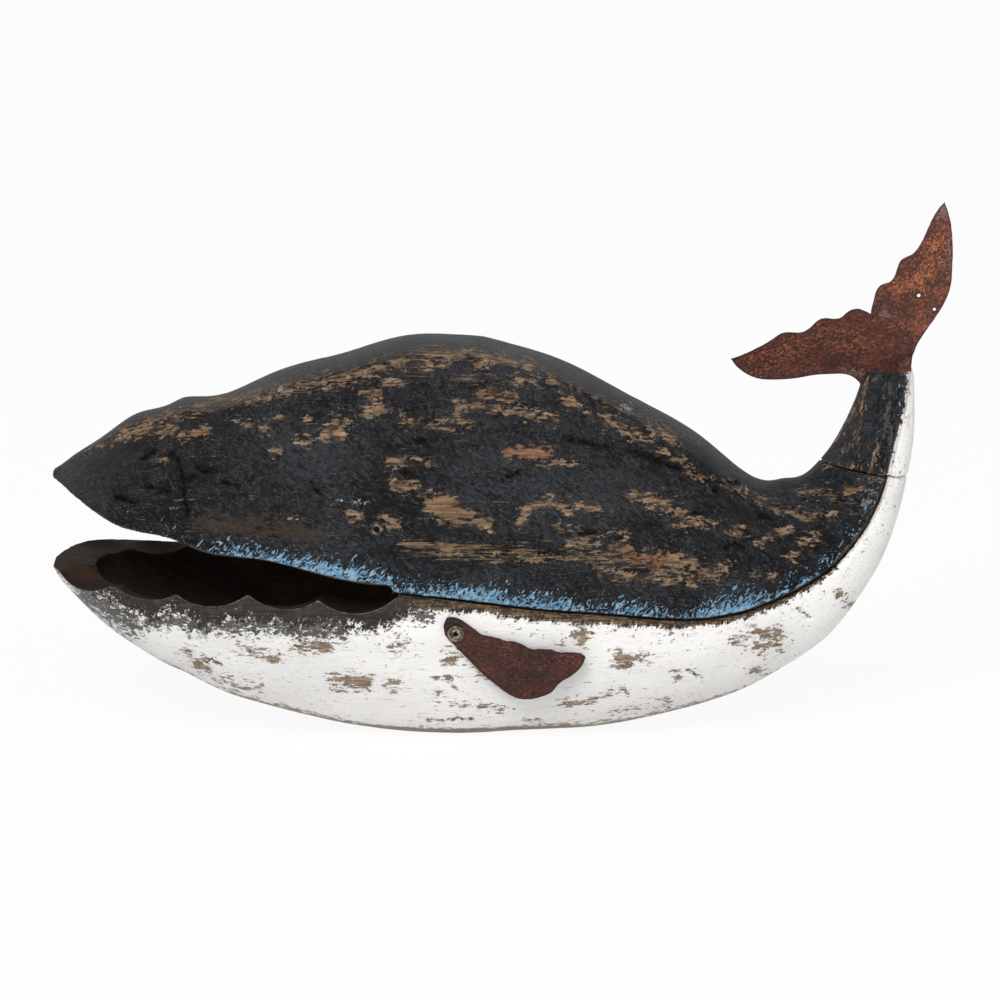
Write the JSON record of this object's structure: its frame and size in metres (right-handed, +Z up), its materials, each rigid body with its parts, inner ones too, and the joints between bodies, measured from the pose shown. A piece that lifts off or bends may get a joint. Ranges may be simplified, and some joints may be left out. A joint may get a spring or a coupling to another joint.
{
  "type": "whale figurine",
  "caption": "Carved wooden whale ornament with an open gouged jaw, black back over white belly, rusted sheet flukes and side flippers that swivel on their screws.",
  "frame": {"origin": "middle of the object's box in plan, on the surface that the belly rests on", "axes": "+X from the snout to the tail, +Y to the whale's right side, +Z up"},
  "size_m": [0.4499, 0.1222, 0.2586],
  "materials": {
    "black_painted_wood": "worn satin charcoal paint over dark stained wood",
    "white_painted_wood": "worn smooth white paint over dark stained wood",
    "bare_dowel_wood": "bare",
    "rusted_sheet": "rusted dark brown sheet",
    "fixing_steel": "dulled by age"
  },
  "bodies": {
    "root": {"back_block": "black_painted_wood", "belly_block": "white_painted_wood", "tail_block": "black_painted_wood", "left_fluke": "rusted_sheet", "right_fluke": "rusted_sheet", "fluke_pins": "fixing_steel", "left_flipper_screw": "fixing_steel", "right_flipper_screw": "fixing_steel", "left_eye_tack": "fixing_steel", "right_eye_tack": "fixing_steel", "body_dowels": "bare_dowel_wood", "tail_dowel": "bare_dowel_wood"},
    "left_flipper": {"left_flipper": "rusted_sheet"},
    "right_flipper": {"right_flipper": "rusted_sheet"}
  },
  "joints": [
    {"name": "left_flipper_swivel", "type": "hinge", "parent": "root", "child": "left_flipper", "pos_m": [-0.02333, -0.0575, 0.06087], "axis": [-0.0075, -0.9962, -0.0872], "range_deg": [-45, 60]},
    {"name": "right_flipper_swivel", "type": "hinge", "parent": "root", "child": "right_flipper", "pos_m": [-0.02333, 0.0575, 0.06087], "axis": [0.0075, -0.9962, 0.0872], "range_deg": [-45, 60]}
  ]
}
